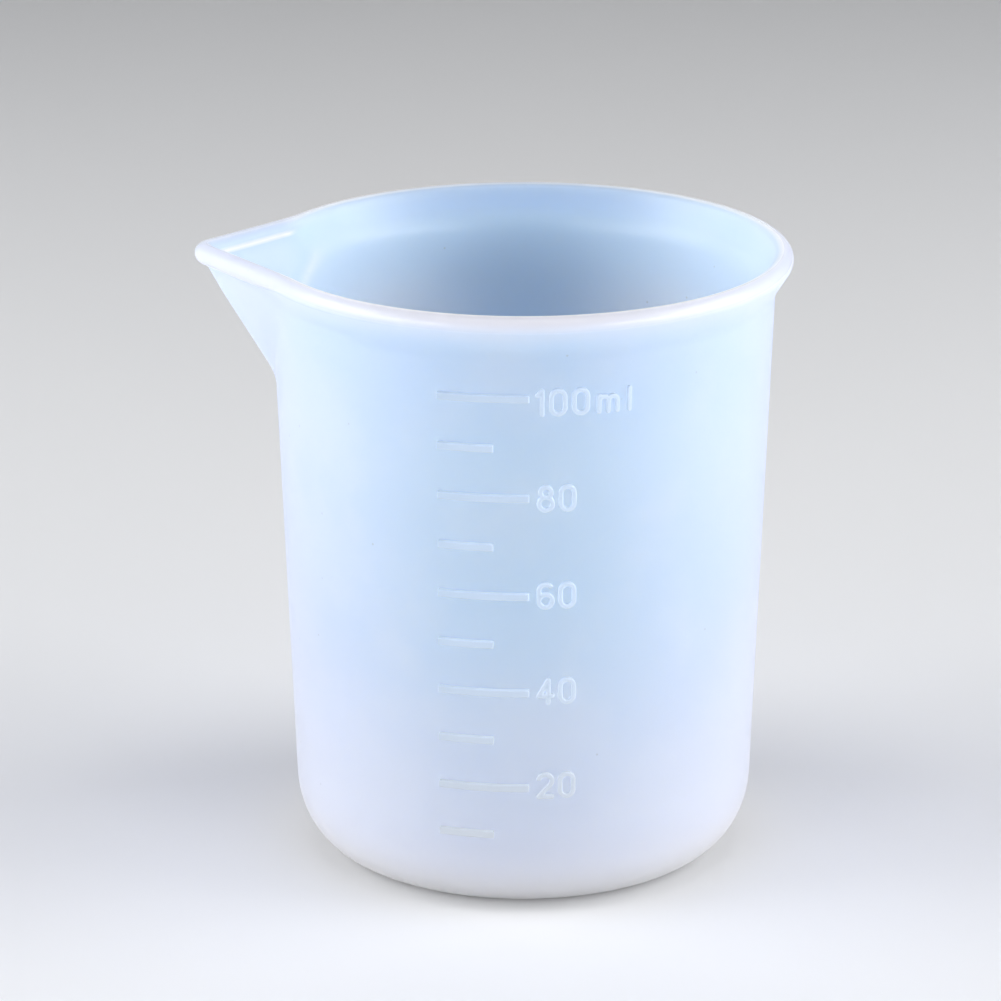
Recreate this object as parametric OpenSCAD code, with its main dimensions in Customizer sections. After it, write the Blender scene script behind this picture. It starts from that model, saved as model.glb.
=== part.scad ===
// Resin mixing cup: a soft silicone measuring beaker of 100 ml with a pouring spout.
// The origin is the centre of the underside, +Z is up.
// The spout points along -X and the scale faces -Y.

/* [Body] */
// Overall diameter over the rounded lip
rim_d = 58; // [54:0.5:62]
// Height of the lip above the table
cup_h = 67.3; // [66:0.1:69]
// Outside diameter where the wall starts to flare into the lip
neck_d = 54.1; // [53:0.1:55]
// Height at which the wall starts to flare into the lip
neck_h = 61.85; // [61:0.05:63]
// Outside diameter at the top of the rounded bottom edge
low_d = 50.4; // [48:0.1:52]
// Thickness of the side wall
wall_t = 1.8; // [1.2:0.1:2.2]
// Thickness of the bottom
floor_t = 3.2; // [2:0.1:4]

/* [Rounded bottom edge] */
// Height of the rounded edge
heel_h = 8; // [6:0.5:9]
// How far the rounded edge draws in under the cup
heel_w = 5.6; // [4:0.2:7]

/* [Lip] */
// Thickness of the full-round edge of the lip
lip_t = 2.2; // [1.8:0.1:2.4]
// Angle of the flare from upright
flare_angle = 32.5; // [28:0.5:36]
// Radius of the hollow curve under the flare
flare_r = 3.5; // [3:0.1:4]

/* [Spout] */
// Distance from the middle of the cup to the end of the spout
spout_reach = 35.3; // [34.5:0.1:36]
// Angle between each side of the spout and its middle line, seen from above
spout_angle = 52; // [50.5:0.5:53]
// How much higher the lip is at the tip than round the cup
spout_rise = 0.35; // [0:0.05:0.5]
// Radius of the lip's middle line round the tip
tip_r = 2; // [1.5:0.1:2.4]
// Height at which the spout's keel leaves the wall
keel_foot_h = 52.8; // [50:0.2:54]
// Slope of the keel from level
keel_angle = 59; // [57:0.5:61]
// Outside rounding of the keel
keel_r = 1.6; // [1:0.1:2]
// Thickness of the spout's sides
spout_t = 1.2; // [1:0.1:1.6]

/* [Scale] */
// Height of the 10 ml mark
first_mark_h = 9.5; // [9:0.1:11]
// Distance from one 10 ml mark to the next
mark_step = 5.42; // [5.2:0.01:5.5]
// How far the marks and numerals stand out of the wall
relief = 0.35; // [0.2:0.05:0.5]
// Height of a mark
mark_w = 1; // [0.6:0.1:1.4]
// Slope that rounds off the edges of a mark
mark_bevel = 0.12; // [0.05:0.01:0.2]
// Distance of the marks' left ends from the middle line, along the wall
mark_left = 9; // [7:0.1:10]
// Distance of the long marks' right ends from the middle line
long_mark_right = 0.6; // [0.2:0.1:1]
// Distance of the short marks' right ends left of the middle line
short_mark_stop = 3.1; // [2:0.1:5]

/* [Numerals] */
// Height of the digits
digit_h = 3; // [2.6:0.1:3.4]
// Width of the digits
digit_w = 1.9; // [1.6:0.1:2.1]
// Width of the strokes
stroke = 0.48; // [0.4:0.02:0.56]

/* [Hidden] */
$fn = 96;
silicone = [0.84, 0.90, 0.97];
silicone_edge = [0.91, 0.92, 0.96];
silicone_mark = [0.93, 0.96, 1.00];

// Body
heel_base_r = low_d / 2 - heel_w;
flat_ring = 1.6;
floor_r = heel_base_r - flat_ring;
heel_inner_r = heel_h - floor_t;
heel_steps = 12;

// Lip, as the middle of its round edge and the middle of the hollow curve under its flare
lip_r = rim_d / 2 - lip_t / 2;
lip_z = cup_h - lip_t / 2;
edge_middle = [lip_r, lip_z];
hollow_middle = [neck_d / 2 + flare_r, neck_h];
flare_end = 180 - flare_angle;
neck_steps = 4;
edge_steps = 14;

// Spout
tip_x = -(spout_reach - lip_t / 2 - tip_r);
apex_x = tip_x - tip_r / sin(spout_angle);
line_gap = -apex_x * sin(spout_angle);
spout_half_sector = 90 - spout_angle - acos(line_gap / lip_r);
lip_run = (-apex_x - lip_r * cos(spout_half_sector)) / cos(spout_angle);
hinge_x = -lip_r * cos(spout_half_sector);
lip_tilt = asin(spout_rise / (hinge_x - tip_x + tip_r));
keel_half_angle = atan(tan(spout_angle) / sin(keel_angle));
keel_vertex = keel_r - keel_r / sin(keel_half_angle);
channel_r = 0.6;
vee_depth = 13;
vee_steps = 8;
keel_length = 24;

// Numerals, as the places of their glyphs along the wall to the right of the middle line
first_digit = 2.3;
second_digit = 4.55;
full_glyphs = [["1", 1.7], ["0", 3.55], ["0", 5.9], ["m", 8.8], ["l", 11.1]];
full_drop = 0.4;
glyph_depth = 6;

// Sizes of shapes that are cut down to the cup: how far they reach and how far they overlap
reach = 100;
overlap = 2;

// Outside radius of the tapered wall at a height
function wall_r(z) = low_d / 2 + (neck_d - low_d) / 2 * (z - heel_h) / (neck_h - heel_h);

// Height of the mark for a volume
function mark_h(volume) = first_mark_h + mark_step * (volume / 10 - 1);

// Turn about the cup's axis that a distance along the wall takes at a height
function turn(along, z) = along / wall_r(z) * 180 / PI;

// Wedge of the plane from angle a to angle b, under 180 degrees apart
module wedge(a, b) {
    middle = (a + b) / 2;
    polygon([
        [0, 0],
        reach * [cos(a), sin(a)],
        reach * [cos(middle), sin(middle)],
        reach * [cos(b), sin(b)]
    ]);
}

// Points along an arc round a centre, from angle a to angle b
function arc(centre, r, a, b, steps) = [
    for (i = [0:steps])
        let (t = a + (b - a) * i / steps)
        centre + r * [cos(t), sin(t)]
];

// Inside of the flare, from the neck up
function flare_inside() = arc(hollow_middle, flare_r + wall_t, 180, flare_end, neck_steps);

// Round edge of the lip, from the outside over the top to the inside
function lip_edge() = arc(edge_middle, lip_t / 2, -flare_angle, flare_end, edge_steps);

// Section of the flared lip: a curved neck, a straight flare and a full-round edge
module lip_section() {
    inside = flare_inside();
    outside = arc(hollow_middle, flare_r, 180, flare_end, neck_steps);
    polygon(concat(outside, lip_edge(), [for (i = [neck_steps:-1:0]) inside[i]]));
}

// Filled vee of the spout, square to the keel: inset from the outside by a thickness
module vee(inset, round_r) {
    vertex = keel_vertex + inset / sin(keel_half_angle);
    centre = vertex + round_r / sin(keel_half_angle);
    far = (vee_depth - vertex) * tan(keel_half_angle);
    nose = arc([centre, 0], round_r, 270 - keel_half_angle, 90 + keel_half_angle, vee_steps);
    polygon(concat([[vee_depth, -far]], nose, [[vee_depth, far]]));
}

// The vee drawn out along the slope of the keel
module vee_prism(inset, round_r) {
    translate([-wall_r(keel_foot_h), 0, keel_foot_h]) {
        rotate([0, keel_angle - 90, 0]) {
            translate([0, 0, -keel_length / 4]) {
                linear_extrude(keel_length) {
                    vee(inset, round_r);
                }
            }
        }
    }
}

// Space inside the spout, which also opens the wall behind it
module channel() {
    vee_prism(spout_t, channel_r);
}

// Solid that fills the cup: out to the wall's outside, and above the neck to the lip's inside
module cup_core() {
    edge_inside = lip_edge()[edge_steps];
    rotate_extrude() {
        polygon(concat(
            [[0, heel_h], [low_d / 2, heel_h], [neck_d / 2, neck_h]],
            flare_inside(),
            [edge_inside, [0, edge_inside.y]]
        ));
    }
}

// Everything within the spout's share of the rim
module spout_sector() {
    translate([0, 0, keel_foot_h - overlap]) {
        linear_extrude(keel_length) {
            wedge(180 - spout_half_sector, 180 + spout_half_sector);
        }
    }
}

// Straight lip along one side of the spout, from the tip to the rim of the cup
module lip_side(side) {
    translate([tip_x, 0, 0]) {
        rotate([0, 0, side * spout_angle]) {
            translate([0, side * tip_r, 0]) {
                rotate([0, 90, 0]) {
                    cylinder(d = lip_t, h = lip_run + overlap);
                }
            }
        }
    }
}

// Round lip at the tip of the spout
module lip_tip() {
    translate([tip_x, 0, 0]) {
        rotate([0, 0, 90 + spout_angle]) {
            rotate_extrude(angle = 180 - 2 * spout_angle) {
                translate([tip_r, 0]) {
                    circle(d = lip_t);
                }
            }
        }
    }
}

// Lip of the spout, tilted up from the rim of the cup towards the tip
module spout_lip() {
    translate([hinge_x, 0, lip_z]) {
        rotate([0, lip_tilt, 0]) {
            translate([-hinge_x, 0, 0]) {
                lip_side(1);
                lip_side(-1);
                lip_tip();
            }
        }
    }
}

// Flat bottom inside the rounded edge
module cup_floor() {
    color(silicone) {
        cylinder(r = floor_r, h = floor_t);
    }
}

// Rounded bottom edge between the flat bottom and the wall
module heel() {
    outside = [
        for (i = [0:heel_steps])
            let (a = 90 * i / heel_steps)
            [heel_base_r + heel_w * sin(a), heel_h * (1 - cos(a))]
    ];
    inside_centre = [low_d / 2 - wall_t - heel_inner_r, heel_h];
    inside = arc(inside_centre, heel_inner_r, 0, -90, heel_steps);
    color(silicone) {
        rotate_extrude() {
            polygon(concat([[floor_r, 0]], outside, inside, [[floor_r, floor_t]]));
        }
    }
}

// Tapered side wall, open where the spout leaves it
module wall() {
    color(silicone) {
        difference() {
            rotate_extrude() {
                polygon([
                    [low_d / 2 - wall_t, heel_h],
                    [low_d / 2, heel_h],
                    [neck_d / 2, neck_h],
                    [neck_d / 2 - wall_t, neck_h]
                ]);
            }
            channel();
        }
    }
}

// Flared lip round the cup, up to the spout on either side
module rim() {
    color(silicone_edge) {
        rotate([0, 0, spout_half_sector - 180]) {
            rotate_extrude(angle = 360 - 2 * spout_half_sector) {
                lip_section();
            }
        }
    }
}

// Pouring spout: the vee's two sides, the piece of flared neck beside them, and the lip
module spout() {
    color(silicone_edge) {
        intersection() {
            union() {
                difference() {
                    vee_prism(0, keel_r);
                    channel();
                    cup_core();
                    translate([-reach, -reach, lip_z]) {
                        cube(2 * reach);
                    }
                }
                difference() {
                    rotate_extrude() {
                        lip_section();
                    }
                    channel();
                }
                spout_lip();
            }
            spout_sector();
        }
    }
}

// Thin layer on the wall, between two heights, that the scale is cut from
module relief_layer(z0, z1) {
    rotate_extrude() {
        polygon([
            [wall_r(z0), z0],
            [wall_r(z0) + relief, z0],
            [wall_r(z1) + relief, z1],
            [wall_r(z1), z1]
        ]);
    }
}

// Raised mark for one volume, long at every 20 ml
module mark(volume) {
    z = mark_h(volume);
    low = z - mark_w / 2;
    high = z + mark_w / 2;
    right = volume % 20 == 0 ? long_mark_right : -short_mark_stop;
    start = turn(-mark_left, z);
    color(silicone_mark) {
        rotate([0, 0, start - 90]) {
            rotate_extrude(angle = turn(right, z) - start) {
                polygon([
                    [wall_r(low), low],
                    [wall_r(low) + relief, low + mark_bevel],
                    [wall_r(high) + relief, high - mark_bevel],
                    [wall_r(high), high]
                ]);
            }
        }
    }
}

// Straight stroke with round ends
module line(a, b) {
    way = b - a;
    translate(a) {
        circle(d = stroke);
        rotate(atan2(way.y, way.x)) {
            translate([0, -stroke / 2]) {
                square([norm(way), stroke]);
            }
            translate([norm(way), 0]) {
                circle(d = stroke);
            }
        }
    }
}

// Curved stroke, round its centre from angle a to angle b
module curve(centre, r, a, b) {
    translate(centre) {
        intersection() {
            difference() {
                circle(r = r + stroke / 2);
                circle(r = r - stroke / 2);
            }
            wedge(a, b);
        }
    }
}

// Upright outline with round ends
module stadium(w, h) {
    square([w, h - w], center = true);
    for (end = [-1, 1]) {
        translate([0, end * (h - w) / 2]) {
            circle(d = w);
        }
    }
}

// Ring with the stroke's width inside its diameter
module ring(d) {
    difference() {
        circle(d = d);
        circle(d = d - 2 * stroke);
    }
}

// One glyph, its digit centred on the origin
module glyph(sign) {
    top = digit_h / 2 - stroke / 2;
    side = digit_w / 2 - stroke / 2;
    if (sign == "0") {
        difference() {
            stadium(digit_w, digit_h);
            stadium(digit_w - 2 * stroke, digit_h - 2 * stroke);
        }
    }
    if (sign == "1") {
        line([0.2, -top], [0.2, top]);
        line([0.2, top], [-0.3, top - 0.5]);
    }
    if (sign == "2") {
        curve([0, top - side], side, -40, 80);
        curve([0, top - side], side, 79, 175);
        line([side * cos(40), top - side - side * sin(40)], [-side, -top]);
        line([-side, -top], [side, -top]);
    }
    if (sign == "4") {
        line([0.3, top], [-side, -0.5]);
        line([-side, -0.5], [side, -0.5]);
        line([0.3, top], [0.3, -top]);
    }
    if (sign == "6") {
        translate([0, side - top]) {
            ring(digit_w);
        }
        line([-side, side - top], [-side, top - side]);
        curve([0, top - side], side, 30, 110);
        curve([0, top - side], side, 109, 180);
    }
    if (sign == "8") {
        translate([0, digit_w / 2 - digit_h / 2]) {
            ring(digit_w);
        }
        translate([0, digit_h / 2 - digit_w * 0.42]) {
            ring(digit_w * 0.84);
        }
    }
    if (sign == "m") {
        hump = 0.5;
        shoulder = 0.35 - hump;
        for (x = [-2 * hump, 0, 2 * hump]) {
            line([x, -top], [x, shoulder]);
        }
        for (x = [-hump, hump]) {
            curve([x, shoulder], hump, 0, 91);
            curve([x, shoulder], hump, 89, 180);
        }
        line([-2 * hump, shoulder], [-2 * hump, 0.45]);
    }
    if (sign == "l") {
        line([0, -top], [0, top - 0.25]);
    }
}

// Raised numeral at a height: each glyph stands square to the wall at its own place
module numeral(z, glyphs) {
    color(silicone_mark) {
        intersection() {
            for (g = glyphs) {
                rotate([0, 0, turn(g[1], z)]) {
                    translate([0, glyph_depth / 2 - wall_r(z), z]) {
                        rotate([90, 0, 0]) {
                            linear_extrude(glyph_depth) {
                                glyph(g[0]);
                            }
                        }
                    }
                }
            }
            relief_layer(z - digit_h, z + digit_h);
        }
    }
}

// Two-digit numeral beside its mark
module pair(volume, first, lift) {
    numeral(mark_h(volume) + lift, [[first, first_digit], ["0", second_digit]]);
}

cup_floor();  // floor
heel();
wall();
rim();
spout();
mark(10);  // mark_10
mark(20);  // mark_20
mark(30);  // mark_30
mark(40);  // mark_40
mark(50);  // mark_50
mark(60);  // mark_60
mark(70);  // mark_70
mark(80);  // mark_80
mark(90);  // mark_90
mark(100);  // mark_100
pair(20, "2", 0.3);  // numeral_20
pair(40, "4", 0.2);  // numeral_40
pair(60, "6", 0.1);  // numeral_60
pair(80, "8", 0);  // numeral_80
numeral(mark_h(100) - full_drop, full_glyphs);  // numeral_100ml
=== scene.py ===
"""Looks of a soft silicone mixing cup, and the stage that it stands on.

It is laid out as an add-on and run as a script. Every length is in metres, in the
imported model's own frame: the origin is the middle of the underside, +Z is up, the
spout points along -X and the scale faces -Y.
"""

import math
from typing import NamedTuple

import bmesh
import bpy
import numpy as np
from bpy.props import FloatProperty, FloatVectorProperty, IntProperty, PointerProperty
from bpy.types import Operator, Panel, PropertyGroup
from mathutils import Euler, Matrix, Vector
from mathutils.kdtree import KDTree


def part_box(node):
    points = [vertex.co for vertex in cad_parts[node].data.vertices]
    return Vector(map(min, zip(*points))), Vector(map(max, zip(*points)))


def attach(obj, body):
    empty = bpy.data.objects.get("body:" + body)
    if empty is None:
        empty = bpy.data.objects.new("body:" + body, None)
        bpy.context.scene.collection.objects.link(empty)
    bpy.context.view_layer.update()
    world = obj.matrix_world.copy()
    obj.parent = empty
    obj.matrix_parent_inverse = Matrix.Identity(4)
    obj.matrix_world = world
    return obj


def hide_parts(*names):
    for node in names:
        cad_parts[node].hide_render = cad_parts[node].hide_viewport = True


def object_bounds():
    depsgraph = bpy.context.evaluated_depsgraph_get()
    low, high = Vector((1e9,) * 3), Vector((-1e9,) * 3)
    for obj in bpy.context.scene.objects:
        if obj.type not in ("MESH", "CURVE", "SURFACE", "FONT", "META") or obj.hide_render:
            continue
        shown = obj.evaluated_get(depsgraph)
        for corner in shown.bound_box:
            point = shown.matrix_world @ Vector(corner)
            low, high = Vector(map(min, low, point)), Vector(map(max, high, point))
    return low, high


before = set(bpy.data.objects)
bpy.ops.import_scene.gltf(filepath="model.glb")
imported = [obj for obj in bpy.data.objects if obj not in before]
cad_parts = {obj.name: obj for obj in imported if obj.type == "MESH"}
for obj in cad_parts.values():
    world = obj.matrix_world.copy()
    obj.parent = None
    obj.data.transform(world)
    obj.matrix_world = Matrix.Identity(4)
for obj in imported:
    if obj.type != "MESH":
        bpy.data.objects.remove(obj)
CAD_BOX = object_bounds()

bl_info = {
    "name": "Silicone mixing cup",
    "version": (1, 0, 0),
    "blender": (4, 5, 0),
    "location": "View3D > Sidebar > Mixing Cup",
    "description": "Makes a moulded silicone measuring cup and a plain stage for it",
    "category": "Add Mesh",
}

MM = 0.001
BODY = "root"
SHELL_NODES = ("floor", "heel", "wall", "rim", "spout")
MARK_NODES = [f"mark_{volume}" for volume in range(10, 101, 10)]
NUMERAL_NODES = [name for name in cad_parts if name.startswith("numeral_")]
IMAGE_SIDE = 1001

# Steps of the shell's rings, from the middle of the underside round to the inside
BASE_STEPS = 8
HEEL_STEPS = 16
WALL_STEPS = 18
FINE_STEP = 0.5 * MM
NECK_STEPS = 7
FLARE_STEPS = 4
EDGE_STEPS = 22
INNER_FLARE_STEPS = 5
INNER_NECK_STEPS = 8
CORNER_STEPS = 14

# Columns of the shell, from the spout's middle line: start, end and step in degrees, and
# how many there are from there to the far side
FINE_COLUMNS = ((0, 4, 0.25), (4, 12, 0.5), (12, 42, 0.75))
COARSE_COLUMNS = 61

# Round edge of the spout's lip in degrees, from under its outside over the top to its inside
SPOUT_EDGE = (-82, 192)
# Where the spout's side meets that edge, in edge radii below the edge's middle
SPOUT_EDGE_FOOT = 1.12
# Widest blend of spout and wall, as a share of the gap between them, and the least gap
BLEND_LIMIT = 0.95
LEAST_GAP = 0.02 * MM

# Silicone rubber: refraction, how far light travels in it, and how rough its skin is
SILICONE_IOR = 1.41
SCATTERING = 10 * MM
WALL_ROUGHNESS = 0.34
LIP_ROUGHNESS = 0.18
SCALE_ROUGHNESS = 0.3

# Grit marks, dust grains and clouds of the silicone
GRIT_WIDTH = 0.35 * MM
GRIT_DEPTH = 0.05 * MM
DUST_SPACING = 4 * MM
GRAIN_CORE = 0.08 * MM
GRAIN_EDGE = 0.17 * MM
DUST_STRENGTH = 0.35
CLOUD_WIDTH = 14 * MM
CLOUD_STRENGTH = 0.12

# Bands of tint up the cup: colour, height where it is strongest, height where it ends, strength
SHELL_BANDS = (
    # Painted reflection of the ground: paler and less blue towards the bottom, greyer round the
    # bottom edge
    ("heel", 0, 38 * MM, 0.8),
    ("foot", 0, 11 * MM, 0.9),
    # Painted shade on the neck, under the flare's overhang
    ("crease", 62 * MM, 48 * MM, 0.2),
)
# The scale greys towards the bottom like the wall, as painted reflection of the ground
SCALE_BAND = ("foot", 0, 38 * MM, 0.65)

# Strength of each tint of the shell, from 0 to 1; most are painted light, highlights or shade
SIDE_LAMP_PAINT = 0.55
LIP_UNDERSIDE = 0.28
SPOUT_CREST_HIGHLIGHT = 0.8
BACK_RIDGE_HIGHLIGHT = 0.3
FRONT_RIDGE_HIGHLIGHT = 0.8
CORNER_HIGHLIGHT = 0.3
FLOOR_PAINTED_LIGHT = 0.6
INSIDE_ENDS_PAINTED_LIGHT = 0.3
INSIDE_FLANKS_PAINTED_LIGHT = 0.4
KEEL_CREASE_SHADE = 0.5
BACK_FOLD_SHADE = 0.92
FOLD_SHADE_INSIDE = 0.7
CHANNEL_SHADE = 0.4

# Share of the painted highlight colour: on a mark's flat, along its edge, more towards
# its right, more at its right end, and along a numeral's edge
MARK_FLAT_LIGHT = 0.4
MARK_EDGE_HIGHLIGHT = 0.25
MARK_HIGHLIGHT_GAIN = 0.1
MARK_END_HIGHLIGHT = 0.25
NUMERAL_EDGE_HIGHLIGHT = 0.8

# Making of the scale: what counts as on the wall, what is welded, how much it is enlarged
# for the voxel remesh, which is made for larger things, and how often it is smoothed
ON_WALL = 0.1 * MM
WELD = 0.002 * MM
ENLARGED = 100
SMOOTHINGS = 4

# Backdrop: level floor, hollow sweep and upright rim
FLOOR_REACH = 1.0
SWEEP_RADIUS = 0.4
BACKDROP_HEIGHT = 1.0


class Softbox(NamedTuple):
    """Turn round the cup and lift above it in degrees, distance from it, and width and height."""

    turn: float
    lift: float
    distance: float
    size: tuple


SIDE_LAMPS = {
    "low": Softbox(80, 10, 0.6, (0.4, 0.2)),
    "high": Softbox(88, 34, 0.6, (0.4, 0.3)),
    "front": Softbox(48, 9, 0.7, (0.4, 0.18)),
}
TOP_LAMP = Softbox(0, 78, 0.7, (0.4, 0.2))
BACK_LAMP = Softbox(180, 43, 0.7, (0.5, 0.06))


def linear(hex_colour):
    """Linear red, green and blue of an sRGB hex colour."""
    channels = [int(hex_colour[i:i + 2], 16) / 255 for i in (1, 3, 5)]
    return tuple(
        c / 12.92 if c <= 0.04045 else ((c + 0.055) / 1.055) ** 2.4 for c in channels
    )


def ramp(value, start, end):
    """Share from 0 at the start to 1 at the end, eased at both."""
    share = np.clip((value - start) / (end - start), 0, 1)
    return share * share * (3 - 2 * share)


def swell(value, grow, fade, left=0):
    """Share that grows from 0 to 1 between two values and fades to what is left between others."""
    return ramp(value, *grow) * (1 - (1 - left) * ramp(value, *fade))


def length_property(name, description, default):
    """A length in metres that the sidebar shows in millimetres or metres."""
    return FloatProperty(
        name=name, description=description, default=default,
        min=0, precision=5, unit="LENGTH",
    )


def angle_property(name, description, degrees):
    """An angle, written here in degrees."""
    return FloatProperty(
        name=name, description=description, default=math.radians(degrees),
        subtype="ANGLE",
    )


def colour_property(name, description, hex_colour):
    """A colour, written here as sRGB hex."""
    return FloatVectorProperty(
        name=name, description=description, default=linear(hex_colour),
        size=3, min=0, max=1, subtype="COLOR",
    )


def power_property(name, description, watts):
    """The power of a lamp."""
    return FloatProperty(
        name=name, description=description, default=watts, min=0, unit="POWER",
    )


class CupSizes(PropertyGroup):
    """Sizes of the moulding."""

    height: length_property("Height", "Top of the lip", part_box("rim")[1].z)
    rim_diameter: length_property("Rim", "Across the rounded lip", 57.96 * MM)
    neck_diameter: length_property("Neck", "Outside where the flare starts", 54.1 * MM)
    neck_height: length_property("Neck height", "Where the flare starts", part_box("wall")[1].z)
    low_diameter: length_property("Low diameter", "Outside at the top of the heel", 50.4 * MM)
    wall: length_property("Wall", "Thickness of the side wall", 1.8 * MM)
    floor: length_property("Floor", "Thickness of the bottom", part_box("floor")[1].z)
    heel_height: length_property("Heel height", "Height of the rounded edge", 8 * MM)
    heel_width: length_property("Heel width", "How far the heel draws in", 5.6 * MM)
    lip: length_property("Lip", "Thickness of the rounded lip", 2.2 * MM)
    flare_angle: angle_property("Flare", "Angle of the flare from upright", 32.5)
    flare_radius: length_property("Flare radius", "Hollow curve under the flare", 3.5 * MM)
    spout_reach: length_property("Spout reach", "From the axis to the tip", -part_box("spout")[0].x)
    spout_angle: angle_property("Spout angle", "Side to middle line, from above", 52)
    spout_rise: length_property("Spout rise", "How much higher the tip is", 0.35 * MM)
    spout_wall: length_property("Spout wall", "Thickness of the spout's sides", 1.2 * MM)
    tip_radius: length_property("Tip radius", "Middle of the lip round the tip", 2 * MM)
    keel_foot: length_property("Keel foot", "Where the keel leaves the wall", 52.8 * MM)
    keel_angle: angle_property("Keel angle", "Slope of the keel from level", 59)
    keel_radius: length_property("Keel radius", "Outside rounding of the keel", 1.41 * MM)
    outer_blend: length_property("Outer blend", "Where spout and wall meet outside", 0.8 * MM)
    inner_blend: length_property("Inner blend", "Where spout and wall meet inside", 0.7 * MM)
    mark_root: length_property("Mark root", "How deep the scale is rooted in the wall", 0.25 * MM)
    mark_voxel: length_property("Mark voxel", "Fineness of the rounded scale", 0.07 * MM)
    mark_line: length_property("Mark line", "Width of the bright line along an edge", 0.3 * MM)
    numeral_line: length_property("Numeral line", "The same for the numerals", 0.45 * MM)


class CupColours(PropertyGroup):
    """Colours of the silicone and of the stage."""

    body: colour_property("Body", "Milky silicone", "#b5cffe")
    # Painted side light: a lavender tint on the outside where the side lamps fall on the cup
    sides: colour_property("Sides", "Silicone where light runs along the wall", "#b8bbf2")
    # Painted shade: darker and bluer down in the cup
    inside: colour_property("Inside", "Silicone down in the cup", "#a9c8fe")
    # Paler and less blue towards the bottom, and greyer round the bottom edge: a painted reflection
    # of the ground beneath the cup
    heel: colour_property("Heel", "Silicone towards the thick bottom", "#d3d6e2")
    foot: colour_property("Foot", "Silicone round the bottom edge", "#c0bebc")
    # Partly the paler thick lip, partly painted light on its upper side
    lip: colour_property("Lip", "Silicone at the rounded lip", "#cbcbd8")
    # Painted highlights along edges and painted light inside the cup; also the paler clouds of the
    # silicone
    crest: colour_property("Crest", "Silicone where an edge gathers light", "#f2f5ff")
    # Painted shade in the folds of the flare, in creases and on the neck
    crease: colour_property("Crease", "Silicone in the folds of the flare", "#93a9cc")
    # The flat is coloured to match the lit wall, and the edges carry painted highlights
    marks: colour_property("Marks", "Flat of the raised scale", "#b0c3d9")
    mark_highlight: colour_property("Mark edges", "Edges of the raised scale", "#c8d8ec")
    speck: colour_property("Speck", "Dust caught on the surface", "#8a93a6")
    floor: colour_property("Floor", "Stage paper", "#e9eaec")


class StageSettings(PropertyGroup):
    """Camera and lamps."""

    distance: length_property("Distance", "From the axis to the camera", 441.356 * MM)
    camera_height: length_property("Camera height", "Above the table", 185.11 * MM)
    tilt: angle_property("Tilt", "How far the camera looks down", 18.3837)
    focal_pixels: FloatProperty(
        name="Focal length", description="In pixels of the picture", default=4250
    )
    shift_pixels: FloatProperty(
        name="Shift", description="How far right of the middle the axis is", default=22.93
    )
    low_power: power_property("Low side lamps", "Power of each low side softbox", 1.66)
    high_power: power_property("High side lamps", "Power of each high side softbox", 1.38)
    front_power: power_property("Front lamps", "Power of each front softbox", 1.62)
    top_power: power_property("Top lamp", "Power of the softbox above the cup", 1.0)
    back_power: power_property("Back lamp", "Power of the strip lamp behind", 0.35)
    balance: FloatProperty(
        name="Balance", description="How much stronger the right lamps are", default=0.035
    )
    columns: IntProperty(name="Columns", description="Steps round the backdrop", default=96)


def add(tree, kind, settings=None, values=None, links=None):
    """Adds a node with its settings, its inputs' values and what is linked to them."""
    node = tree.nodes.new(kind)
    for name, value in (settings or {}).items():
        setattr(node, name, value)
    for name, value in (values or {}).items():
        node.inputs[name].default_value = value
    for name, output in (links or {}).items():
        tree.links.new(output, node.inputs[name])
    return node


def new_material(name):
    """An empty material and its node tree."""
    material = bpy.data.materials.new(name)
    material.use_nodes = True
    material.node_tree.nodes.clear()
    return material, material.node_tree


def rgba(colour):
    """A colour property with full alpha."""
    return (*colour, 1.0)


def blasted_skin(tree, place):
    """The satin skin that a blasted mould leaves, as a bump of coarse and finer grit marks."""
    grit = add(
        tree, "ShaderNodeTexNoise", None,
        {"Scale": 1 / GRIT_WIDTH, "Detail": 3, "Roughness": 0.6}, {"Vector": place},
    )
    return add(
        tree, "ShaderNodeBump", None, {"Strength": 0.12, "Distance": GRIT_DEPTH},
        {"Height": grit.outputs["Fac"]},
    ).outputs["Normal"]


def dust(tree, place):
    """Share of the dust that silicone always holds, as soft grains far apart."""
    grains = add(
        tree, "ShaderNodeTexVoronoi", None, {"Scale": 1 / DUST_SPACING}, {"Vector": place},
    ).outputs["Distance"]
    return add(
        tree, "ShaderNodeMapRange", None,
        {
            "From Min": GRAIN_CORE / DUST_SPACING, "From Max": GRAIN_EDGE / DUST_SPACING,
            "To Min": DUST_STRENGTH, "To Max": 0,
        },
        {"Value": grains},
    ).outputs["Result"]


def clouds(tree, place):
    """Share of the paler clouds that the milky filler settles into."""
    noise = add(
        tree, "ShaderNodeTexNoise", None, {"Scale": 1 / CLOUD_WIDTH, "Detail": 3},
        {"Vector": place},
    ).outputs["Fac"]
    return add(
        tree, "ShaderNodeMapRange", {"interpolation_type": "SMOOTHSTEP"},
        {"From Min": 0.4, "From Max": 0.65, "To Min": 0, "To Max": CLOUD_STRENGTH},
        {"Value": noise},
    ).outputs["Result"]


def mixed(tree, colour, share, other):
    """A colour with a share of another over it."""
    return add(
        tree, "ShaderNodeMix", {"data_type": "RGBA"}, {"B": rgba(other)},
        {"Factor": share, "A": colour},
    ).outputs["Result"]


def stored(tree, name):
    """A share that the mesh stores for each of its points."""
    return add(tree, "ShaderNodeAttribute", {"attribute_name": name}).outputs["Fac"]


def banded(tree, colour, place, colours, band):
    """A colour with a band of another, strongest at one height and gone at another."""
    name, strongest, end, strength = band
    height = add(tree, "ShaderNodeSeparateXYZ", links={"Vector": place}).outputs["Z"]
    fade = add(
        tree, "ShaderNodeMapRange", {"interpolation_type": "SMOOTHSTEP"},
        {"From Min": strongest, "From Max": end, "To Min": strength, "To Max": 0},
        {"Value": height},
    ).outputs["Result"]
    return mixed(tree, colour, fade, getattr(colours, name))


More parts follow.
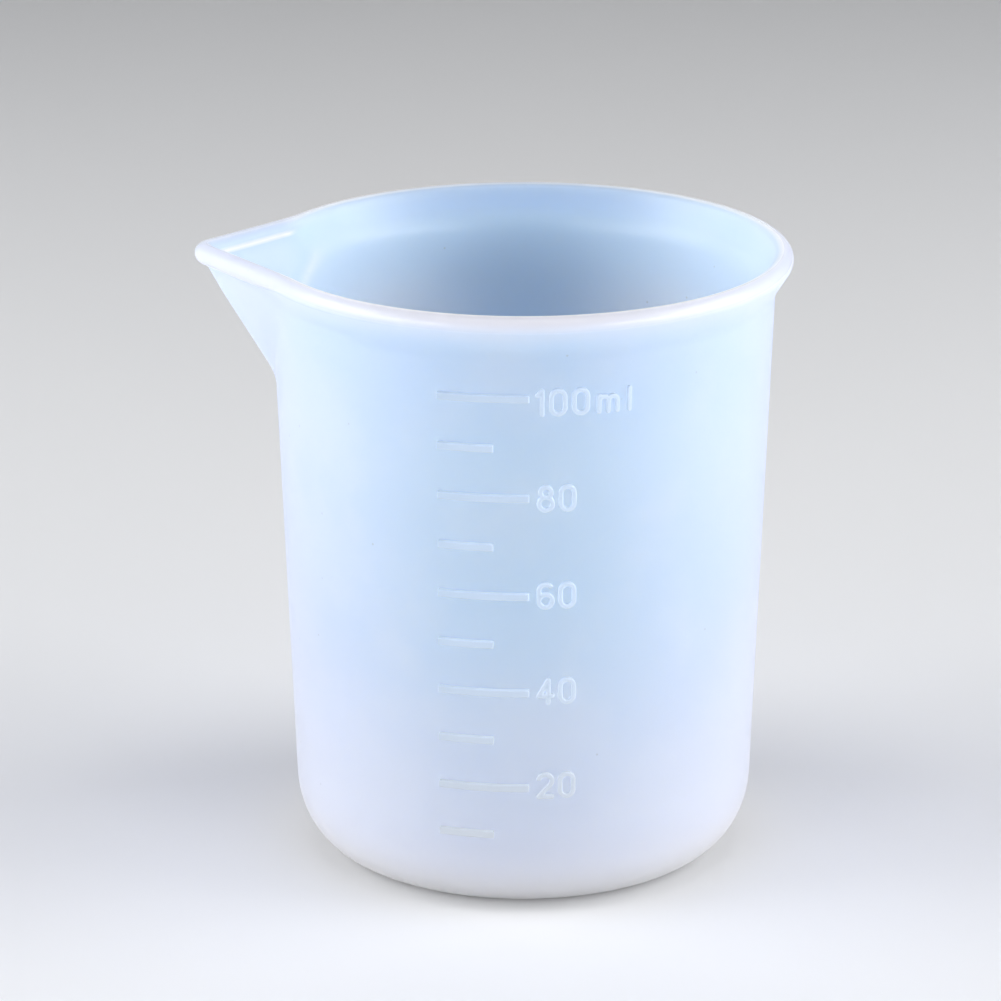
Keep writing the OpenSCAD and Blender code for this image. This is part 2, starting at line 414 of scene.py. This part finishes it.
def cast_silicone(colours):
    """Silicone rubber cast in a steel mould, blasted on the wall and polished at the lip.

    Light spreads about a centimetre in it and comes out again, so thin walls glow, the
    inside is lit through them and thick edges look whiter. The wall is satin, and the
    lip has a sharper shine along its crest. The shell's stored tints paint highlights,
    light and shade into its colour.
    """
    material, tree = new_material("cast_silicone")
    place = add(tree, "ShaderNodeTexCoord").outputs["Object"]
    colour = add(
        tree, "ShaderNodeMix", {"data_type": "RGBA"},
        {"A": rgba(colours.body), "B": rgba(colours.crest)}, {"Factor": clouds(tree, place)},
    ).outputs["Result"]
    # The sides' tint is painted light where the side lamps fall on the cup
    colour = mixed(tree, colour, stored(tree, "sides"), colours.sides)
    for band in SHELL_BANDS:
        colour = banded(tree, colour, place, colours, band)
    # Painted light and shade: the inside's tint is painted shade, the lip's is partly painted light
    # on its top, the crease's is painted shade, and the crest's is painted highlights and light
    for name in ("inside", "lip", "crease", "crest"):
        colour = mixed(tree, colour, stored(tree, name), getattr(colours, name))
    colour = mixed(tree, colour, dust(tree, place), colours.speck)
    roughness = add(
        tree, "ShaderNodeMapRange", None, {"To Min": WALL_ROUGHNESS, "To Max": LIP_ROUGHNESS},
        {"Value": stored(tree, "lip")},
    ).outputs["Result"]
    shader = add(
        tree, "ShaderNodeBsdfPrincipled", {"subsurface_method": "RANDOM_WALK"},
        {
            "IOR": SILICONE_IOR, "Subsurface Weight": 1.0, "Subsurface Scale": SCATTERING,
            "Subsurface Radius": (1.0, 1.0, 1.0), "Sheen Weight": 0.2, "Sheen Roughness": 0.5,
        },
        {"Base Color": colour, "Roughness": roughness, "Normal": blasted_skin(tree, place)},
    )
    add(tree, "ShaderNodeOutputMaterial", links={"Surface": shader.outputs["BSDF"]})
    return material


def raised_silicone(colours):
    """The same silicone where the mould's engraving raises it by a third of a millimetre.

    Relief this thin passes its light straight on to the wall, so its flat is coloured to
    look like the lit wall, hardly paler, and its edges carry painted highlights, as thin
    bright lines.
    """
    material, tree = new_material("raised_silicone")
    place = add(tree, "ShaderNodeTexCoord").outputs["Object"]
    colour = add(
        tree, "ShaderNodeMix", {"data_type": "RGBA"},
        {"A": rgba(colours.marks), "B": rgba(colours.mark_highlight)}, {"Factor": stored(tree, "edge")},
    ).outputs["Result"]
    colour = banded(tree, colour, place, colours, SCALE_BAND)
    shader = add(
        tree, "ShaderNodeBsdfPrincipled", None,
        {"Roughness": SCALE_ROUGHNESS, "IOR": SILICONE_IOR},
        {"Base Color": colour, "Normal": blasted_skin(tree, place)},
    )
    add(tree, "ShaderNodeOutputMaterial", links={"Surface": shader.outputs["BSDF"]})
    return material


def stage_paper(colours):
    """Rolled background paper, which is matt and even, with a faint grain 2 mm wide."""
    material, tree = new_material("stage_paper")
    place = add(tree, "ShaderNodeTexCoord").outputs["Object"]
    grain = add(
        tree, "ShaderNodeTexNoise", None, {"Scale": 1 / (2 * MM), "Detail": 2},
        {"Vector": place},
    )
    bump = add(
        tree, "ShaderNodeBump", None, {"Strength": 0.05, "Distance": 0.1 * MM},
        {"Height": grain.outputs["Fac"]},
    )
    shader = add(
        tree, "ShaderNodeBsdfPrincipled", None,
        {"Base Color": rgba(colours.floor), "Roughness": 0.9, "Specular IOR Level": 0.2},
        {"Normal": bump.outputs["Normal"]},
    )
    add(tree, "ShaderNodeOutputMaterial", links={"Surface": shader.outputs["BSDF"]})
    return material


def on_circle(centre, radius, degrees):
    """A point on a circle, at an angle from outward towards up."""
    angle = math.radians(degrees)
    return (centre[0] + radius * math.cos(angle), centre[1] + radius * math.sin(angle))


def arc(centre, radius, start, end, steps):
    """Points along an arc, from one angle in degrees to another."""
    return [on_circle(centre, radius, angle) for angle in np.linspace(start, end, steps + 1)]


def along(start, end, steps):
    """Points along a straight line, both ends included."""
    return [
        (start[0] + (end[0] - start[0]) * t, start[1] + (end[1] - start[1]) * t)
        for t in np.linspace(0, 1, steps + 1)
    ]


def wall_radius(sizes, height):
    """Outside radius of the tapered wall at a height."""
    taper = (sizes.neck_diameter - sizes.low_diameter) / 2 / (sizes.neck_height - sizes.heel_height)
    return sizes.low_diameter / 2 + taper * (height - sizes.heel_height)


def spout_side(sizes, height, inset):
    """Distance from the axis to the spout's straight side at a height, inset by a thickness."""
    half = sizes.spout_angle
    keel_slope = math.tan(sizes.keel_angle)
    nose = wall_radius(sizes, sizes.keel_foot) + (height - sizes.keel_foot) / keel_slope
    apex = nose + sizes.keel_radius * (1 / math.sin(half) - 1)
    lean = math.atan(math.sin(half) / keel_slope)
    return apex * math.sin(half) - inset / math.cos(lean)


def lip_side(sizes):
    """Distance from the axis to the middle line of the spout's straight lip."""
    tip_middle = sizes.spout_reach - sizes.lip / 2 - sizes.tip_radius
    return tip_middle * math.sin(sizes.spout_angle) + sizes.tip_radius


def lip_middles(sizes):
    """Middles of the lip's round edge, on the cup and on the spout, as distance and height."""
    height = sizes.height - sizes.lip / 2
    return (sizes.rim_diameter / 2 - sizes.lip / 2, height), (lip_side(sizes), height)


def lip_hinge(sizes):
    """Distance in front of the axis at which the lip starts to rise towards the tip."""
    lip_radius = sizes.rim_diameter / 2 - sizes.lip / 2
    half_sector = math.pi / 2 - sizes.spout_angle - math.acos(lip_side(sizes) / lip_radius)
    return lip_radius * math.cos(half_sector)


class Ring(NamedTuple):
    """One ring of the moulding: where the cup and the spout would put it, and its tints.

    The cup puts it at a radius and a height. The spout has straight sides at a distance
    from the axis, a round tip and a height of its own, which rises towards the tip by a
    share of the spout's rise. Every tint is a share from 0 to 1.
    """

    radius: float
    height: float
    side: float
    tip: float
    spout_height: float
    rise: float = 0
    # The tints: the lip's is partly painted light on its top, the inside's is painted shade, crest,
    # corner and ridge are painted highlights, crease and fold are painted shade, and pale is
    # painted light on the floor
    cup_lip: float = 0
    spout_lip: float = 0
    inside: float = 0
    crest: float = 0
    crease: float = 0
    corner: float = 0
    fold: float = 0
    ridge: float = 0
    pale: float = 0


def level_ring(sizes, radius, height, inset, tip, inside=0):
    """A ring at one height all round, with the spout's sides inset by a thickness."""
    side = spout_side(sizes, height, inset)
    return Ring(radius, height, side, tip, height, inside=inside, corner=inside)


def split_ring(cup, spout, tip, **tints):
    """A ring with a height of its own in the spout."""
    return Ring(cup[0], cup[1], spout[0], tip, spout[1], **tints)


def foot_rings(sizes):
    """The flat underside and the rounded bottom edge."""
    base_radius = sizes.low_diameter / 2 - sizes.heel_width
    rings = [
        level_ring(sizes, radius, height=0, inset=0, tip=0)
        for radius in np.linspace(0, base_radius, BASE_STEPS + 1)[1:-1]
    ]
    for angle in np.radians(np.linspace(0, 90, HEEL_STEPS + 1)):
        radius = base_radius + sizes.heel_width * math.sin(angle)
        height = sizes.heel_height * (1 - math.cos(angle))
        rings.append(level_ring(sizes, radius, height, inset=0, tip=sizes.keel_radius))
    return rings


def wall_heights(sizes):
    """Heights of the wall's rings, close together where the spout leaves the wall."""
    # The close rings start a little below the foot of the spout's keel
    shoulder = sizes.keel_foot - 4 * FINE_STEP
    low = np.linspace(sizes.heel_height, shoulder, WALL_STEPS + 1)[1:]
    high = np.arange(shoulder + FINE_STEP, sizes.neck_height - FINE_STEP / 2, FINE_STEP)
    return [*low, *high]


def flare_rings(sizes):
    """The outside of the flare, from the top of the wall to the lip's round edge."""
    tilt = math.degrees(sizes.flare_angle)
    cup_middle, spout_middle = lip_middles(sizes)
    edge = sizes.lip / 2
    hollow = (sizes.neck_diameter / 2 + sizes.flare_radius, sizes.neck_height)
    edge_start = on_circle(cup_middle, edge, -tilt)
    cup_line = arc(hollow, sizes.flare_radius, 180, 180 - tilt, NECK_STEPS)
    cup_line += along(cup_line[-1], edge_start, FLARE_STEPS)[1:-1]
    # One more ring close to the round edge keeps its shading from smearing down the flare
    cup_line += along(cup_line[-1], edge_start, FLARE_STEPS)[-2:-1]
    last = len(cup_line) - 1
    bead_foot = spout_middle[1] - edge * SPOUT_EDGE_FOOT
    spout_line = along(
        (spout_side(sizes, sizes.neck_height, 0), sizes.neck_height),
        (spout_side(sizes, bead_foot, 0), bead_foot), last,
    )
    return [
        split_ring(
            cup, spout, sizes.keel_radius, rise=i / last,
            # The lip's tint fades out under the round edge, partly as painted light
            cup_lip=LIP_UNDERSIDE * ramp(i, last - FLARE_STEPS, last),
        )
        for i, (cup, spout) in enumerate(zip(cup_line, spout_line))
    ]


def edge_rings(sizes):
    """The round edge of the lip, from its outside over the top to its inside."""
    tilt = math.degrees(sizes.flare_angle)
    cup_middle, spout_middle = lip_middles(sizes)
    cup_angles = np.linspace(-tilt, 180 - tilt, EDGE_STEPS + 1)
    spout_angles = np.linspace(*SPOUT_EDGE, EDGE_STEPS + 1)
    rings = []
    for on_cup, on_spout in zip(cup_angles, spout_angles):
        cup = on_circle(cup_middle, sizes.lip / 2, on_cup)
        spout = on_circle(spout_middle, sizes.lip / 2, on_spout)
        rings.append(split_ring(
            cup, spout, sizes.tip_radius + spout[0] - spout_middle[0], rise=1,
            # Over the round edge: the lip's tint, partly painted light on its upper side; painted
            # highlights along the spout's inner edge and the cup's crest; painted shade under the
            # spout's bead and in the fold inside the flare
            cup_lip=swell(on_cup, grow=(-75, 45), fade=(80, 125)),
            spout_lip=swell(on_spout, grow=(-80, -40), fade=(95, 130), left=0.5),
            inside=ramp(on_cup, start=80, end=125),
            crest=ramp(on_spout, start=172, end=186),
            crease=1 - ramp(on_spout, start=-80, end=-68),
            ridge=swell(on_cup, grow=(68, 92), fade=(112, 124)),
            fold=swell(on_cup, grow=(85, 110), fade=(110, 145), left=FOLD_SHADE_INSIDE),
        ))
    return rings


def inner_flare_rings(sizes, edge_end):
    """The inside of the flare and of the spout's lip, from the end of the round edge down."""
    tilt = math.degrees(sizes.flare_angle)
    hollow = (sizes.neck_diameter / 2 + sizes.flare_radius, sizes.neck_height)
    inner_radius = sizes.flare_radius + sizes.wall
    cup_start = (edge_end.radius, edge_end.height)
    spout_start = (edge_end.side, edge_end.spout_height)
    flare_end = on_circle(hollow, inner_radius, 180 - tilt)
    cup_line = along(cup_start, flare_end, INNER_FLARE_STEPS)[1:]
    cup_line += arc(hollow, inner_radius, 180 - tilt, 180, INNER_NECK_STEPS)[1:]
    count = len(cup_line)
    channel_foot = (spout_side(sizes, sizes.neck_height, sizes.spout_wall), sizes.neck_height)
    spout_line = along(spout_start, channel_foot, count)[1:]
    rings = []
    for i, (cup, spout) in enumerate(zip(cup_line, spout_line)):
        depth = (i + 1) / count
        rings.append(split_ring(
            cup, spout, edge_end.tip, rise=1 - depth, inside=1,
            # Painted highlight on the edge where the spout's channel meets the inside, and painted
            # shade of the flare's fold, fading downwards
            corner=ramp(depth, start=0.3, end=1),
            fold=FOLD_SHADE_INSIDE * (1 - ramp(depth, start=0, end=0.8)),
        ))
    return rings


def inside_rings(sizes, channel_tip):
    """The inside of the wall, the rounded corner at its foot and the floor."""
    rings = [
        level_ring(
            sizes, wall_radius(sizes, height) - sizes.wall, height,
            inset=sizes.spout_wall, tip=channel_tip, inside=1,
        )
        for height in reversed(wall_heights(sizes))
    ]
    corner_radius = sizes.heel_height - sizes.floor
    corner = (sizes.low_diameter / 2 - sizes.wall - corner_radius, sizes.heel_height)
    low_line = arc(corner, corner_radius, 0, -90, CORNER_STEPS)
    low_line += along(low_line[-1], (0, sizes.floor), BASE_STEPS)[1:-1]
    # The spout has no part in the corner and the floor
    for radius, height in low_line:
        # Painted light on the floor inside the cup, strongest at the floor
        pale = FLOOR_PAINTED_LIGHT * ramp(height, sizes.heel_height, sizes.floor)
        rings.append(
            Ring(radius, height, side=0, tip=0, spout_height=height, inside=1, pale=pale)
        )
    return rings


def shell_rings(sizes):
    """The surface of the moulding, from the middle of the underside round to the inside."""
    rings = foot_rings(sizes)
    rings += [
        level_ring(sizes, wall_radius(sizes, height), height, inset=0, tip=sizes.keel_radius)
        for height in wall_heights(sizes)
    ]
    rings += flare_rings(sizes)
    rings += edge_rings(sizes)
    edge_end = rings[-1]
    rings += inner_flare_rings(sizes, edge_end)
    rings += inside_rings(sizes, edge_end.tip)
    return rings


def shell_turns():
    """Columns round the cup from the spout's middle line, closest together at the tip."""
    spans = [np.arange(*span) for span in FINE_COLUMNS]
    spans.append(np.linspace(FINE_COLUMNS[-1][1], 180, COARSE_COLUMNS))
    half = np.concatenate(spans)
    return np.radians(np.concatenate([half, -half[-2:0:-1]]))


def spout_outline(sizes, ring, off):
    """Distance from the axis to the spout's outline, at an angle off its middle line."""
    half = sizes.spout_angle
    square_on = math.pi / 2 - half
    tip_middle = (ring.side - ring.tip) / math.sin(half)
    tip_end = np.arctan2(
        ring.tip * math.sin(square_on), tip_middle + ring.tip * math.cos(square_on)
    )
    round_tip = tip_middle * np.cos(off) + np.sqrt(
        np.maximum(ring.tip ** 2 - (tip_middle * np.sin(off)) ** 2, 0)
    )
    straight = ring.side / np.cos(np.minimum(off, square_on) - square_on)
    return np.where(off < tip_end, round_tip, straight)


def shell_tints(ring, turn, in_spout, meeting):
    """The share of every tint at each point of the moulding.

    Most tints are painted light and shade. Towards the spout and across from it, where the
    side lamps light the cup, the sides take a painted tint and the lip and the inside less
    of theirs. Edges get painted highlights and the folds of the flare painted shade. Deep in
    the cup, painted light lies on the back wall to the left and right of its middle.
    """
    in_cup = 1 - in_spout
    off = np.abs(turn)
    forward = -np.sin(turn)
    # Painted light from the side lamps: towards the spout and across from it, the sides take their
    # tint and the lip and the inside less of theirs
    away_from_axis = ramp(ring.radius, start=4 * MM, end=20 * MM)
    away_from_side_lamps = 1 - SIDE_LAMP_PAINT * np.cos(turn) ** 2 * away_from_axis
    front = ramp(forward, start=0.2, end=1)
    back = ramp(-forward, start=0.5, end=1)
    # Painted light deep in the cup: on the back wall to the left and right of its middle, and
    # towards the spout and across from it
    flank = np.sin(2 * turn) ** 2 * ramp(-forward, start=0.2, end=0.8)
    flank = flank * ramp(ring.height, start=61 * MM, end=51 * MM)
    flank = flank * ramp(ring.height, start=30 * MM, end=50 * MM)
    # Painted highlights along the lip's top, stronger in front, and along the edge where the
    # spout's channel meets the inside
    ridge = (BACK_RIDGE_HIGHLIGHT + (FRONT_RIDGE_HIGHLIGHT - BACK_RIDGE_HIGHLIGHT) * front) * ring.ridge * in_cup
    corner = CORNER_HIGHLIGHT * ring.corner * meeting ** 0.7
    ends = INSIDE_ENDS_PAINTED_LIGHT * (1 - away_from_side_lamps) + INSIDE_FLANKS_PAINTED_LIGHT * flank
    # Painted shade under the spout's bead near the spout, in the flare's fold behind and in the
    # spout's channel
    keel = 1 - ramp(off, start=math.radians(25), end=math.radians(75))
    fold = BACK_FOLD_SHADE * ring.fold * back * in_cup
    return {
        "lip": (ring.cup_lip + (ring.spout_lip - ring.cup_lip) * in_spout) * away_from_side_lamps,
        "sides": (1 - ring.inside) * (1 - away_from_side_lamps),
        "inside": ring.inside * away_from_side_lamps,
        "crest": np.maximum(
            SPOUT_CREST_HIGHLIGHT * ring.crest * in_spout ** 8 + ridge,
            np.maximum(corner, ring.pale) + ends * ring.inside * in_cup,
        ),
        "crease": np.maximum(
            KEEL_CREASE_SHADE * ring.crease * keel, fold + CHANNEL_SHADE * ring.inside * in_spout
        ),
    }


def shell_points(sizes, rings):
    """Every point of the moulding and its tints, as rings of columns."""
    turn = shell_turns()[None, :]
    ring = Ring(*(column[:, None] for column in np.array(rings).T))
    spout = spout_outline(sizes, ring, np.abs(turn))

    # The middle ring is on the lip's round edge, so the first half of the rings is outside
    outside = np.arange(len(rings))[:, None] < len(rings) // 2
    blend = np.where(outside, sizes.outer_blend, sizes.inner_blend)
    # A blend stays a little narrower than the gap from the spout's side to the wall
    gap = np.maximum(ring.radius - ring.side, LEAST_GAP)
    blend = np.minimum(blend, BLEND_LIMIT * gap)
    apart = spout - ring.radius
    meeting = np.clip(1 - np.abs(apart) / blend, 0, 1) ** 2
    reach = np.maximum(spout, ring.radius) + meeting * blend / 4
    in_spout = ramp(apart, -blend, blend)

    x = -reach * np.cos(turn)
    y = reach * np.sin(turn)
    hinge = lip_hinge(sizes)
    lift = sizes.spout_rise * np.clip((-x - hinge) / (sizes.spout_reach - hinge), 0, 1)
    z = ring.height + (ring.spout_height - ring.height + ring.rise * lift) * in_spout
    return np.stack([x, y, z], axis=2), shell_tints(ring, turn, in_spout, meeting)


def grid_mesh(name, points, low_pole, high_pole=None):
    """A smooth mesh of rings of points, with a single point at its start and perhaps its end."""
    count, columns = points.shape[:2]
    low = count * columns
    vertices = points.reshape(-1, 3).tolist() + [low_pole]
    if high_pole:
        vertices.append(high_pole)
    faces = []
    for j in range(columns):
        k = (j + 1) % columns
        faces.append((low, k, j))
        if high_pole:
            faces.append((low + 1, low - columns + j, low - columns + k))
        for i in range(count - 1):
            a, b = i * columns, (i + 1) * columns
            faces.append((a + j, a + k, b + k, b + j))
    mesh = bpy.data.meshes.new(name)
    mesh.from_pydata(vertices, [], faces)
    mesh.validate()
    mesh.shade_smooth()
    return mesh


def store_shares(mesh, name, shares):
    """Stores a share from 0 to 1 for every point of a mesh."""
    mesh.attributes.new(name, "FLOAT", "POINT").data.foreach_set("value", shares)


def put(mesh, material):
    """Puts a mesh into the scene as an object of the same name."""
    mesh.materials.clear()
    mesh.materials.append(material)
    piece = bpy.data.objects.new(mesh.name, mesh)
    bpy.context.scene.collection.objects.link(piece)
    return piece


def face_outward(mesh):
    """Turns every face of a closed mesh outward."""
    work = bmesh.new()
    work.from_mesh(mesh)
    bmesh.ops.recalc_face_normals(work, faces=work.faces)
    work.to_mesh(mesh)
    work.free()


def rooted(points, sizes):
    """The points of a mark or numeral, with those on the wall's surface sunk into the wall."""
    radius = np.hypot(points[:, 0], points[:, 1])
    on_wall = radius - wall_radius(sizes, points[:, 2]) < ON_WALL
    points[:, :2] *= np.where(on_wall, (radius - sizes.mark_root) / radius, 1)[:, None]
    return points


def softened(node, name, sizes):
    """A copy of a raised mark or numeral, rooted in the wall and rounded as moulding leaves it."""
    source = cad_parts[node].data
    points = rooted(np.array([v.co for v in source.vertices]), sizes)
    mesh = source.copy()
    mesh.vertices.foreach_set("co", (points * ENLARGED).ravel())
    mesh.update()
    work = bpy.data.objects.new(name + "_work", mesh)
    bpy.context.scene.collection.objects.link(work)
    weld = work.modifiers.new("weld", "WELD")
    weld.merge_threshold = WELD * ENLARGED
    remesh = work.modifiers.new("remesh", "REMESH")
    remesh.mode = "VOXEL"
    remesh.voxel_size = sizes.mark_voxel * ENLARGED
    smooth = work.modifiers.new("smooth", "SMOOTH")
    smooth.factor = 0.5
    smooth.iterations = SMOOTHINGS
    bpy.context.view_layer.update()
    evaluated = work.evaluated_get(bpy.context.evaluated_depsgraph_get())
    result = bpy.data.meshes.new_from_object(evaluated)
    result.name = name
    points = np.array([v.co for v in result.vertices]) / ENLARGED
    result.vertices.foreach_set("co", points.ravel())
    result.update()
    result.shade_smooth()
    store_shares(result, "edge", edge_shares(points, sizes, node in MARK_NODES))
    bpy.data.objects.remove(work)
    bpy.data.meshes.remove(mesh)
    return result


def edge_shares(points, sizes, is_mark):
    """Share of the painted highlight colour at each point of the raised scale.

    A mark's painted highlight fades towards its left end, and its right end is the
    brightest. A numeral's strokes are too thin to have a flat.
    """
    height = np.hypot(points[:, 0], points[:, 1]) - wall_radius(sizes, points[:, 2])
    feet = points[height < height.max() / 2]
    tree = KDTree(len(feet))
    for i, foot in enumerate(feet):
        tree.insert(foot, i)
    tree.balance()
    distance = np.array([tree.find(point)[2] for point in points])
    line = sizes.mark_line if is_mark else sizes.numeral_line
    edge = 1 - ramp(distance, line / 2, line)
    if not is_mark:
        return NUMERAL_EDGE_HIGHLIGHT * edge
    x = points[:, 0]
    to_right = (x - x.min()) / (x.max() - x.min())
    right_end = 1 - ramp(x.max() - x, line / 2, 2 * line)
    flat = MARK_FLAT_LIGHT * ramp(to_right, start=-0.2, end=0.6)
    return flat + edge * (MARK_EDGE_HIGHLIGHT + MARK_HIGHLIGHT_GAIN * to_right + MARK_END_HIGHLIGHT * right_end)


class MIXINGCUP_OT_shell(Operator):
    """Makes the cup's moulding as one continuous skin, underside, outside, lip and inside"""

    bl_idname = "mixing_cup.shell"
    bl_label = "Silicone Shell"

    def execute(self, context):
        sizes = context.scene.cup_sizes
        points, tints = shell_points(sizes, shell_rings(sizes))
        mesh = grid_mesh("silicone_shell", points, (0, 0, 0), (0, 0, sizes.floor))
        for name, shares in tints.items():
            # The two single points take the tint of the ring beside them
            store_shares(mesh, name, np.concatenate([shares.ravel(), shares[[0, -1], 0]]))
        face_outward(mesh)
        shell = put(mesh, cast_silicone(context.scene.cup_colours))
        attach(shell, BODY)
        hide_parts(*SHELL_NODES)
        return {"FINISHED"}


class MIXINGCUP_OT_scale(Operator):
    """Makes the raised marks and numerals with the rounded edges of a moulding"""

    bl_idname = "mixing_cup.scale"
    bl_label = "Raised Scale"

    def execute(self, context):
        sizes = context.scene.cup_sizes
        material = raised_silicone(context.scene.cup_colours)
        for node in [*MARK_NODES, *NUMERAL_NODES]:
            piece = put(softened(node, "raised_" + node, sizes), material)
            # Relief this thin neither shades the wall nor lights it
            piece.visible_shadow = False
            piece.visible_diffuse = False
            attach(piece, BODY)
            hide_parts(node)
        return {"FINISHED"}


def add_backdrop(stage, colours):
    """A round paper floor that sweeps up into an upright rim, far from the cup all round."""
    rim = FLOOR_REACH + SWEEP_RADIUS
    profile = along((0, 0), (FLOOR_REACH, 0), steps=8)[1:]
    profile += arc((FLOOR_REACH, SWEEP_RADIUS), SWEEP_RADIUS, start=-90, end=0, steps=12)[1:]
    profile += along((rim, SWEEP_RADIUS), (rim, BACKDROP_HEIGHT), steps=2)[1:]
    turns = np.linspace(0, 2 * math.pi, stage.columns, endpoint=False)
    rings = np.array([
        [(r * math.cos(turn), r * math.sin(turn), z) for turn in turns] for r, z in profile
    ])
    mesh = grid_mesh("stage_floor", rings, (0, 0, 0))
    mesh.flip_normals()
    put(mesh, stage_paper(colours))


def add_lamp(name, box, side, power):
    """A softbox aimed at the cup, as its row says, or mirrored to the other side."""
    turn, lift = math.radians(side * box.turn), math.radians(box.lift)
    away = Vector(
        (math.sin(turn) * math.cos(lift), -math.cos(turn) * math.cos(lift), math.sin(lift))
    )
    data = bpy.data.lights.new(name, "AREA")
    data.shape = "RECTANGLE"
    data.size, data.size_y = box.size
    data.energy = power
    lamp = bpy.data.objects.new(name, data)
    lamp.location = Vector((0, 0, CAD_BOX[1].z / 2)) + away * box.distance
    lamp.rotation_euler = away.to_track_quat("Z", "Y").to_euler()
    bpy.context.scene.collection.objects.link(lamp)


def add_camera(stage):
    """The camera at the photograph's place, looking down a little."""
    data = bpy.data.cameras.new("camera")
    data.sensor_width = 36
    data.lens = data.sensor_width * stage.focal_pixels / IMAGE_SIDE
    data.shift_x = -stage.shift_pixels / IMAGE_SIDE
    data.clip_start = 0.01
    data.clip_end = 10
    camera = bpy.data.objects.new("camera", data)
    camera.location = (0, -stage.distance, stage.camera_height)
    camera.rotation_euler = Euler((math.pi / 2 - stage.tilt, 0, 0))
    bpy.context.scene.collection.objects.link(camera)
    bpy.context.scene.camera = camera


class MIXINGCUP_OT_stage(Operator):
    """Makes the pale floor and backdrop, the soft lamps and the camera"""

    bl_idname = "mixing_cup.stage"
    bl_label = "Stage"

    def execute(self, context):
        stage = context.scene.cup_stage
        add_backdrop(stage, context.scene.cup_colours)
        for side_name, side in (("left", -1), ("right", 1)):
            level = 1 + side * stage.balance
            for name, box in SIDE_LAMPS.items():
                power = level * getattr(stage, name + "_power")
                add_lamp(f"{side_name}_{name}_softbox", box, side, power)
        add_lamp("top_softbox", TOP_LAMP, 1, stage.top_power)
        add_lamp("back_strip", BACK_LAMP, 1, stage.back_power)
        context.scene.world = bpy.data.worlds.new("dark_studio")
        context.scene.world.color = (0, 0, 0)
        add_camera(stage)
        context.scene.view_settings.view_transform = "Standard"
        return {"FINISHED"}


class MIXINGCUP_PT_sidebar(Panel):
    """Lists the cup's pieces, sizes and colours"""

    bl_idname = "MIXINGCUP_PT_sidebar"
    bl_label = "Mixing Cup"
    bl_space_type = "VIEW_3D"
    bl_region_type = "UI"
    bl_category = "Mixing Cup"

    def draw(self, context):
        for operator in OPERATORS:
            self.layout.operator(operator.bl_idname)
        for group in (context.scene.cup_sizes, context.scene.cup_colours, context.scene.cup_stage):
            box = self.layout.box()
            for name in group.__annotations__:
                box.prop(group, name)


OPERATORS = (MIXINGCUP_OT_shell, MIXINGCUP_OT_scale, MIXINGCUP_OT_stage)
CLASSES = (CupSizes, CupColours, StageSettings, *OPERATORS, MIXINGCUP_PT_sidebar)


def register():
    """Registers the classes and gives every scene the cup's settings."""
    for cls in CLASSES:
        bpy.utils.register_class(cls)
    bpy.types.Scene.cup_sizes = PointerProperty(type=CupSizes)
    bpy.types.Scene.cup_colours = PointerProperty(type=CupColours)
    bpy.types.Scene.cup_stage = PointerProperty(type=StageSettings)


def unregister():
    """Takes the settings and the classes away again."""
    del bpy.types.Scene.cup_stage
    del bpy.types.Scene.cup_colours
    del bpy.types.Scene.cup_sizes
    for cls in reversed(CLASSES):
        bpy.utils.unregister_class(cls)


def main():
    """Makes the whole scene."""
    register()
    bpy.ops.mixing_cup.shell()
    bpy.ops.mixing_cup.scale()
    bpy.ops.mixing_cup.stage()


if __name__ == "__main__":
    main()
